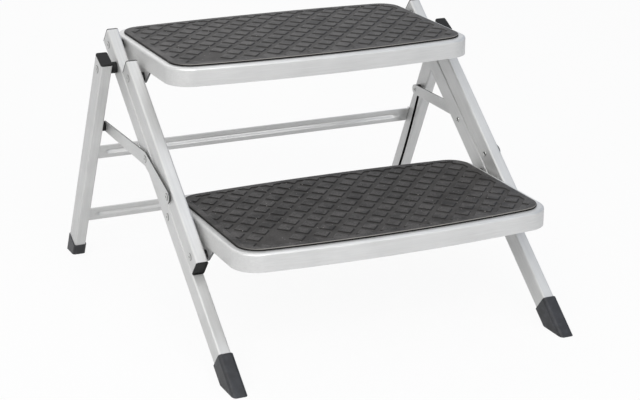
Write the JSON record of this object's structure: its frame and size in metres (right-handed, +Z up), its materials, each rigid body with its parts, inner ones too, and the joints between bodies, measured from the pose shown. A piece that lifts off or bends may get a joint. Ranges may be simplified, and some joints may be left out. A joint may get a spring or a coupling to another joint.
{
  "type": "caravan entry step",
  "caption": "Folding caravan entry step with rubber-topped steel treads on slanting tube legs, parallel links, cranked side struts and a hinged rear frame.",
  "frame": {"origin": "on the ground, below the middle of the open step's outline", "axes": "+Z up, +Y towards the vehicle, -Y towards the person who steps up, +X to that person's right"},
  "size_m": [0.5898, 0.65, 0.3952],
  "materials": {
    "silver_paint": "satin silver paint",
    "mat_rubber": "matt moulded rubber",
    "black_plastic": "satin moulded plastic",
    "zinc_steel": "zinc plated"
  },
  "bodies": {
    "front_frame": {"left_front_leg": "silver_paint", "right_front_leg": "silver_paint", "left_front_leg_plug": "black_plastic", "right_front_leg_plug": "black_plastic", "left_front_foot": "black_plastic", "right_front_foot": "black_plastic", "left_hinge_bush": "black_plastic", "right_hinge_bush": "black_plastic", "hinge_rivets": "zinc_steel", "crank_rivets": "zinc_steel", "tread_rivets": "zinc_steel"},
    "upper_tread": {"upper_tread_pan": "silver_paint", "upper_tread_mat": "mat_rubber", "upper_left_bracket": "silver_paint", "upper_right_bracket": "silver_paint", "upper_tread_spacers": "zinc_steel"},
    "lower_tread": {"lower_tread_pan": "silver_paint", "lower_tread_mat": "mat_rubber", "lower_left_bracket": "silver_paint", "lower_right_bracket": "silver_paint", "lower_tread_spacers": "zinc_steel"},
    "left_link": {"left_link": "silver_paint", "left_link_top_plug": "black_plastic", "left_link_bottom_plug": "black_plastic", "left_link_rivets": "zinc_steel"},
    "right_link": {"right_link": "silver_paint", "right_link_top_plug": "black_plastic", "right_link_bottom_plug": "black_plastic", "right_link_rivets": "zinc_steel"},
    "left_strut": {"left_strut": "silver_paint", "left_strut_washers": "zinc_steel", "left_slider": "black_plastic", "left_slot_pin": "zinc_steel"},
    "right_strut": {"right_strut": "silver_paint", "right_strut_washers": "zinc_steel", "right_slider": "black_plastic", "right_slot_pin": "zinc_steel"},
    "rear_frame": {"left_rear_leg": "silver_paint", "right_rear_leg": "silver_paint", "left_rear_leg_cap": "black_plastic", "right_rear_leg_cap": "black_plastic", "left_rear_foot": "black_plastic", "right_rear_foot": "black_plastic", "upper_crossbar": "silver_paint", "lower_crossbar": "silver_paint"}
  },
  "joints": [
    {"name": "upper_tread_fold", "type": "hinge", "parent": "front_frame", "child": "upper_tread", "pos_m": [0, 0.16803, 0.372], "axis": [-1, 0, 0], "range_deg": [0, 136]},
    {"name": "lower_tread_fold", "type": "hinge", "parent": "front_frame", "child": "lower_tread", "pos_m": [0, -0.07597, 0.177], "axis": [-1, 0, 0], "range_deg": [0, 136]},
    {"name": "left_link_pivot", "type": "hinge", "parent": "upper_tread", "child": "left_link", "pos_m": [-0.255, 0.08072, 0.3414], "axis": [-1, 0, 0], "range_deg": [-136, 0]},
    {"name": "right_link_pivot", "type": "hinge", "parent": "upper_tread", "child": "right_link", "pos_m": [0.255, 0.08072, 0.3414], "axis": [-1, 0, 0], "range_deg": [-136, 0]},
    {"name": "left_strut_pivot", "type": "hinge", "parent": "front_frame", "child": "left_strut", "pos_m": [-0.255, 0.00359, 0.24058], "axis": [-1, 0, 0], "range_deg": [0, 136]},
    {"name": "right_strut_pivot", "type": "hinge", "parent": "front_frame", "child": "right_strut", "pos_m": [0.255, 0.00359, 0.24058], "axis": [-1, 0, 0], "range_deg": [0, 136]},
    {"name": "rear_frame_fold", "type": "hinge", "parent": "front_frame", "child": "rear_frame", "pos_m": [0, 0.13483, 0.34547], "axis": [-1, 0, 0], "range_deg": [0, 75.14]}
  ],
  "couplings": [
    {"joint": "lower_tread_fold", "follows": "upper_tread_fold", "ratio": 1},
    {"joint": "left_link_pivot", "follows": "upper_tread_fold", "ratio": -1},
    {"joint": "right_link_pivot", "follows": "upper_tread_fold", "ratio": -1},
    {"joint": "left_strut_pivot", "follows": "upper_tread_fold", "ratio": 1},
    {"joint": "right_strut_pivot", "follows": "upper_tread_fold", "ratio": 1},
    {"joint": "rear_frame_fold", "follows": "upper_tread_fold", "ratio": 0.5525}
  ]
}
